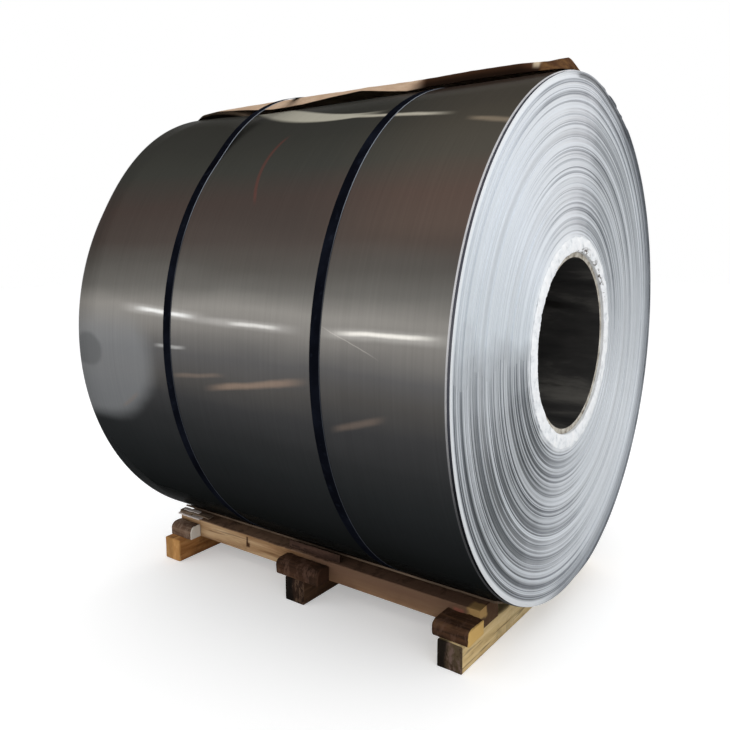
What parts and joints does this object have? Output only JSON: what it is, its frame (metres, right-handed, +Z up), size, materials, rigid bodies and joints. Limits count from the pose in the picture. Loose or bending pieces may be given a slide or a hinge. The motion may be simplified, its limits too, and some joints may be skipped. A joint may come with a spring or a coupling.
{
  "type": "steel coil",
  "caption": "Wound coil of glossy cold-rolled steel sheet lying on a timber skid, held by steel straps, with loose kraft paper over its top and a crumpled white wrap edge round its bore.",
  "frame": {"origin": "middle of the object's footprint on the floor", "axes": "+X along the coil's axis to the end that the picture shows, -Y the side that the picture shows, +Z up"},
  "size_m": [1.3864, 1.543, 1.6714],
  "materials": {
    "coil_steel": "bright rolled surface, ringed cut edges on the ends",
    "core_board": "matt grey-brown board",
    "white_wrap": "crumpled, matt white",
    "strap_steel": "dark blue-black, half gloss",
    "kraft_paper": "brown kraft paper, creased",
    "bearer_wood": "rough sawn softwood",
    "rail_wood": "rough sawn softwood, weathered on top",
    "chock_wood": "rough dark softwood",
    "pad_board": "grey-brown pressed board"
  },
  "bodies": {
    "root": {"coil": "coil_steel", "outer_laps": "coil_steel", "core_sleeve": "core_board", "bore_wrap_edge": "white_wrap", "strap_far": "strap_steel", "strap_near": "strap_steel", "paper_sheet": "kraft_paper", "bearer_far": "bearer_wood", "bearer_middle": "bearer_wood", "bearer_near": "bearer_wood", "rail_front": "rail_wood", "rail_back": "rail_wood", "chock_front_far": "chock_wood", "chock_front_middle": "chock_wood", "chock_front_near": "chock_wood", "chock_back_far": "chock_wood", "chock_back_middle": "chock_wood", "chock_back_near": "chock_wood", "pad_strip_front": "pad_board", "pad_strip_back": "pad_board"}
  },
  "joints": []
}
